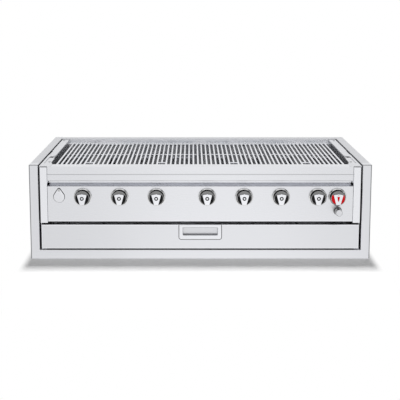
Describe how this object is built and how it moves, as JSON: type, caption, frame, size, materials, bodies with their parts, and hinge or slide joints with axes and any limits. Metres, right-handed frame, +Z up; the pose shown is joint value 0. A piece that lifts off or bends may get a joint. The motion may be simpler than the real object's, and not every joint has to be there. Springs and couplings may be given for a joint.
{
  "type": "gas grill",
  "caption": "Wide built-in gas grill head in an insulated steel sleeve, with rod grates, a row of push-to-turn knobs, a push igniter and a drip tray drawer.",
  "frame": {"origin": "centre of the base under everything, the igniter's button included", "axes": "+X to the right seen from the front, +Y to the back, +Z up"},
  "size_m": [1.372, 0.723, 0.387],
  "materials": {
    "sleeve_steel": "fine straight brushing",
    "galvanised_steel": "dull zinc coat",
    "insulation": "mineral wool board",
    "panel_steel": "brushed along its length",
    "bright_steel": "bright, lightly brushed",
    "screw_steel": "turned and polished",
    "firebox_steel": "dull and heat tinted",
    "grate_steel": "drawn rod",
    "burner_steel": "heat tinted tube",
    "manifold_steel": "black oxide",
    "valve_brass": "machined",
    "stem_brass": "turned",
    "knob_black": "black face with chromed rim and grip",
    "knob_red": "red face with chromed rim and grip",
    "bezel_chrome": "mirror polish",
    "igniter_chrome": "mirror polish",
    "module_plastic": "moulded",
    "ceramic": "glazed white ceramic"
  },
  "bodies": {
    "grill": {"sleeve_front_frame": "sleeve_steel", "sleeve_left_wall": "galvanised_steel", "sleeve_right_wall": "galvanised_steel", "sleeve_back_wall": "galvanised_steel", "sleeve_floor": "galvanised_steel", "sleeve_insulation": "insulation", "left_side_panel": "bright_steel", "right_side_panel": "bright_steel", "left_top_plate": "panel_steel", "right_top_plate": "panel_steel", "fasteners": "screw_steel", "rear_panel": "panel_steel", "front_rail": "panel_steel", "control_panel": "panel_steel", "firebox_front": "firebox_steel", "firebox_burner_wall": "firebox_steel", "firebox_rear": "firebox_steel", "firebox_left": "firebox_steel", "firebox_right": "firebox_steel", "radiants": "firebox_steel", "pilot_burner": "burner_steel", "gas_manifold": "manifold_steel", "gas_inlet_pipe": "manifold_steel", "gas_valves": "valve_brass", "control_bezels": "bezel_chrome", "igniter_module": "module_plastic", "igniter_electrode": "ceramic", "drawer_runners": "galvanised_steel", "burner_1": "burner_steel", "burner_2": "burner_steel", "burner_3": "burner_steel", "burner_4": "burner_steel", "burner_5": "burner_steel", "burner_6": "burner_steel", "burner_7": "burner_steel"},
    "valve_stem_1": {"valve_stem_1": "stem_brass"},
    "knob_1": {"knob_1": "knob_black"},
    "valve_stem_2": {"valve_stem_2": "stem_brass"},
    "knob_2": {"knob_2": "knob_black"},
    "valve_stem_3": {"valve_stem_3": "stem_brass"},
    "knob_3": {"knob_3": "knob_black"},
    "valve_stem_4": {"valve_stem_4": "stem_brass"},
    "knob_4": {"knob_4": "knob_black"},
    "valve_stem_5": {"valve_stem_5": "stem_brass"},
    "knob_5": {"knob_5": "knob_black"},
    "valve_stem_6": {"valve_stem_6": "stem_brass"},
    "knob_6": {"knob_6": "knob_black"},
    "valve_stem_7": {"valve_stem_7": "stem_brass"},
    "knob_7": {"knob_7": "knob_black"},
    "valve_stem_8": {"valve_stem_8": "stem_brass"},
    "knob_8": {"knob_8": "knob_red"},
    "grate_1": {"grate_1": "grate_steel"},
    "grate_2": {"grate_2": "grate_steel"},
    "grate_3": {"grate_3": "grate_steel"},
    "grate_4": {"grate_4": "grate_steel"},
    "igniter_button": {"igniter_button": "igniter_chrome"},
    "lighting_port_cover": {"lighting_port_cover": "bright_steel"},
    "drawer": {"drawer_front": "panel_steel", "drip_tray": "panel_steel", "drawer_handle": "bright_steel"}
  },
  "joints": [
    {"name": "valve_turn_1", "type": "hinge", "parent": "grill", "child": "valve_stem_1", "pos_m": [-0.472, -0.3135, 0.2556], "axis": [0, -1, 0], "range_deg": [0, 180]},
    {"name": "knob_push_1", "type": "slide", "parent": "valve_stem_1", "child": "knob_1", "axis": [0, 1, 0], "range_m": [0, 0.003], "stiffness_N_per_m": 1200, "springref_m": -0.003},
    {"name": "valve_turn_2", "type": "hinge", "parent": "grill", "child": "valve_stem_2", "pos_m": [-0.324, -0.3135, 0.2556], "axis": [0, -1, 0], "range_deg": [0, 180]},
    {"name": "knob_push_2", "type": "slide", "parent": "valve_stem_2", "child": "knob_2", "axis": [0, 1, 0], "range_m": [0, 0.003], "stiffness_N_per_m": 1200, "springref_m": -0.003},
    {"name": "valve_turn_3", "type": "hinge", "parent": "grill", "child": "valve_stem_3", "pos_m": [-0.176, -0.3135, 0.2556], "axis": [0, -1, 0], "range_deg": [0, 180]},
    {"name": "knob_push_3", "type": "slide", "parent": "valve_stem_3", "child": "knob_3", "axis": [0, 1, 0], "range_m": [0, 0.003], "stiffness_N_per_m": 1200, "springref_m": -0.003},
    {"name": "valve_turn_4", "type": "hinge", "parent": "grill", "child": "valve_stem_4", "pos_m": [0.0275, -0.3135, 0.2556], "axis": [0, -1, 0], "range_deg": [0, 180]},
    {"name": "knob_push_4", "type": "slide", "parent": "valve_stem_4", "child": "knob_4", "axis": [0, 1, 0], "range_m": [0, 0.003], "stiffness_N_per_m": 1200, "springref_m": -0.003},
    {"name": "valve_turn_5", "type": "hinge", "parent": "grill", "child": "valve_stem_5", "pos_m": [0.1755, -0.3135, 0.2556], "axis": [0, -1, 0], "range_deg": [0, 180]},
    {"name": "knob_push_5", "type": "slide", "parent": "valve_stem_5", "child": "knob_5", "axis": [0, 1, 0], "range_m": [0, 0.003], "stiffness_N_per_m": 1200, "springref_m": -0.003},
    {"name": "valve_turn_6", "type": "hinge", "parent": "grill", "child": "valve_stem_6", "pos_m": [0.3235, -0.3135, 0.2556], "axis": [0, -1, 0], "range_deg": [0, 180]},
    {"name": "knob_push_6", "type": "slide", "parent": "valve_stem_6", "child": "knob_6", "axis": [0, 1, 0], "range_m": [0, 0.003], "stiffness_N_per_m": 1200, "springref_m": -0.003},
    {"name": "valve_turn_7", "type": "hinge", "parent": "grill", "child": "valve_stem_7", "pos_m": [0.4715, -0.3135, 0.2556], "axis": [0, -1, 0], "range_deg": [0, 180]},
    {"name": "knob_push_7", "type": "slide", "parent": "valve_stem_7", "child": "knob_7", "axis": [0, 1, 0], "range_m": [0, 0.003], "stiffness_N_per_m": 1200, "springref_m": -0.003},
    {"name": "valve_turn_8", "type": "hinge", "parent": "grill", "child": "valve_stem_8", "pos_m": [0.55, -0.3135, 0.2556], "axis": [0, -1, 0], "range_deg": [0, 180]},
    {"name": "knob_push_8", "type": "slide", "parent": "valve_stem_8", "child": "knob_8", "axis": [0, 1, 0], "range_m": [0, 0.003], "stiffness_N_per_m": 1200, "springref_m": -0.003},
    {"name": "igniter_push", "type": "slide", "parent": "grill", "child": "igniter_button", "axis": [0, 1, 0], "range_m": [0, 0.004], "stiffness_N_per_m": 1200, "springref_m": -0.003},
    {"name": "port_cover_swing", "type": "hinge", "parent": "grill", "child": "lighting_port_cover", "pos_m": [-0.567, -0.3135, 0.283], "axis": [0, -1, 0], "range_deg": [-50, 120]},
    {"name": "drawer_pull", "type": "slide", "parent": "grill", "child": "drawer", "axis": [0, -1, 0], "range_m": [0, 0.45]},
    {"name": "grate_lift_1", "type": "slide", "parent": "grill", "child": "grate_1", "axis": [0, 0, 1], "range_m": [0, 0.06]},
    {"name": "grate_lift_2", "type": "slide", "parent": "grill", "child": "grate_2", "axis": [0, 0, 1], "range_m": [0, 0.06]},
    {"name": "grate_lift_3", "type": "slide", "parent": "grill", "child": "grate_3", "axis": [0, 0, 1], "range_m": [0, 0.06]},
    {"name": "grate_lift_4", "type": "slide", "parent": "grill", "child": "grate_4", "axis": [0, 0, 1], "range_m": [0, 0.06]}
  ]
}
